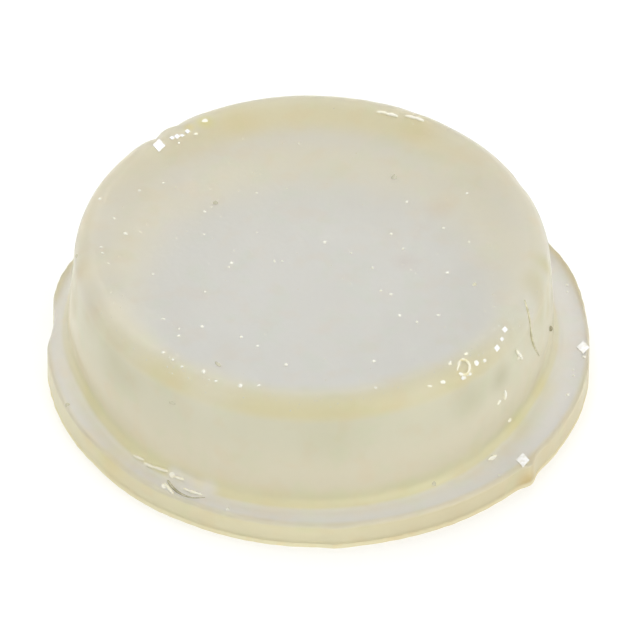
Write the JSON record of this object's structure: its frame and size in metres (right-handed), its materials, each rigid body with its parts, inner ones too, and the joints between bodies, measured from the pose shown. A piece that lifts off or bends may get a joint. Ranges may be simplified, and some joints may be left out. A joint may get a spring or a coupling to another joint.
{
  "type": "adhesive bumper foot",
  "caption": "Low round clear elastomer bumper with a flat top and rounded edge on a thin wider flange, with an adhesive layer underneath.",
  "frame": {"origin": "centre of the adhesive's lower face, on which the bumper is stuck down", "axes": "+Z along the bumper's axis, out of its flat contact face; X and Y are alike, because it is round"},
  "size_m": [0.0126, 0.0126, 0.0037],
  "materials": {
    "clear_elastomer": "satin, translucent, slightly yellowed",
    "adhesive": "milky, tacky"
  },
  "bodies": {
    "root": {"bumper_body": "clear_elastomer", "adhesive_layer": "adhesive"}
  },
  "joints": []
}
